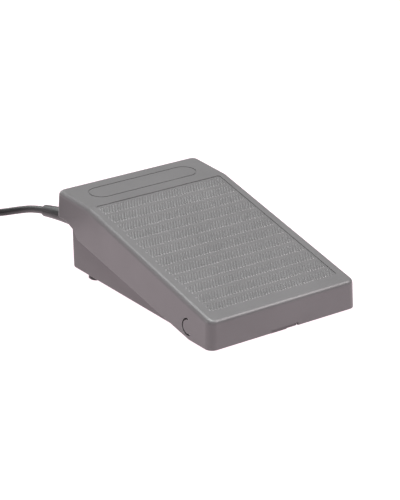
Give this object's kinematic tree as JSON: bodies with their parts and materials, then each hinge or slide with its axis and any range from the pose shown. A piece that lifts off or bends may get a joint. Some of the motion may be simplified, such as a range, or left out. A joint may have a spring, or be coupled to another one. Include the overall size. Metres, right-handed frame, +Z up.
{
  "type": "foot control pedal",
  "caption": "Foot control for a dictation machine: a wedge-shaped hinged treadle with a ribbed tread, sprung over a base tray that holds a switch, with a cable and plug.",
  "frame": {"origin": "half way along and across the treadle cover, on the surface that the feet stand on", "axes": "+X to the right seen from the heel, +Y from the heel to the toe, +Z up"},
  "size_m": [0.1867, 0.2824, 0.0505],
  "materials": {
    "cover_grey": "fine spark-eroded texture, satin",
    "base_grey": "fine spark-eroded texture, matte",
    "foot_rubber": "matt black rubber",
    "ballast_steel": "rolled steel, zinc plated",
    "screw_steel": "zinc plated",
    "bracket_steel": "pressed sheet, zinc plated",
    "spring_steel": "drawn wire",
    "switch_black": "glass-filled moulding",
    "plunger_red": "moulded button",
    "terminal_brass": "tin washed brass",
    "cable_black": "soft PVC, low sheen",
    "lead_white": "PVC insulation",
    "lead_red": "PVC insulation",
    "clamp_nylon": "natural nylon",
    "strap_fabric": "hook-and-loop tape",
    "plug_metal": "nickel plated",
    "plug_insulator_black": "moulded insulator"
  },
  "bodies": {
    "base": {"base_shell": "base_grey", "foot_front_left": "foot_rubber", "foot_front_right": "foot_rubber", "foot_rear_left": "foot_rubber", "foot_rear_right": "foot_rubber", "ballast_plate": "ballast_steel", "ballast_screws": "screw_steel", "bump_stop_left": "foot_rubber", "bump_stop_right": "foot_rubber", "spring_left": "spring_steel", "spring_right": "spring_steel", "switch_body": "switch_black", "lever_pin": "screw_steel", "switch_terminals": "terminal_brass", "switch_bracket": "bracket_steel", "switch_screws": "screw_steel", "switch_nuts": "screw_steel", "bracket_screws": "screw_steel", "strain_relief": "cable_black", "inner_cable": "cable_black", "cable_clamp": "clamp_nylon", "clamp_screws": "screw_steel", "lead_common": "lead_white", "lead_open": "lead_red", "cord_tube": "cable_black", "cord_coil": "cable_black", "coil_strap": "strap_fabric", "plug_grip": "cable_black", "plug_sleeve": "plug_metal", "plug_insulator": "plug_insulator_black", "plug_tip": "plug_metal"},
    "treadle": {"treadle_cover": "cover_grey"},
    "lever": {"switch_lever": "spring_steel"},
    "plunger": {"switch_plunger": "plunger_red"}
  },
  "joints": [
    {"name": "treadle_press", "type": "hinge", "parent": "base", "child": "treadle", "pos_m": [0, -0.06075, 0.0097], "axis": [-1, 0, 0], "range_deg": [0, 3.2], "stiffness_Nm_per_rad": 13.15, "springref_deg": -3.53, "deforming": ["spring_left", "spring_right"]},
    {"name": "lever_turn", "type": "hinge", "parent": "base", "child": "lever", "pos_m": [0, -0.02165, 0.0251], "axis": [-1, 0, 0], "range_deg": [0, 10.5]},
    {"name": "plunger_travel", "type": "slide", "parent": "base", "child": "plunger", "axis": [0, 0, -1], "range_m": [0, 0.00105]}
  ],
  "couplings": [
    {"joint": "lever_turn", "follows": "treadle_press", "ratio": 3.172},
    {"joint": "plunger_travel", "follows": "treadle_press", "m_per_rad": 0.01775}
  ]
}
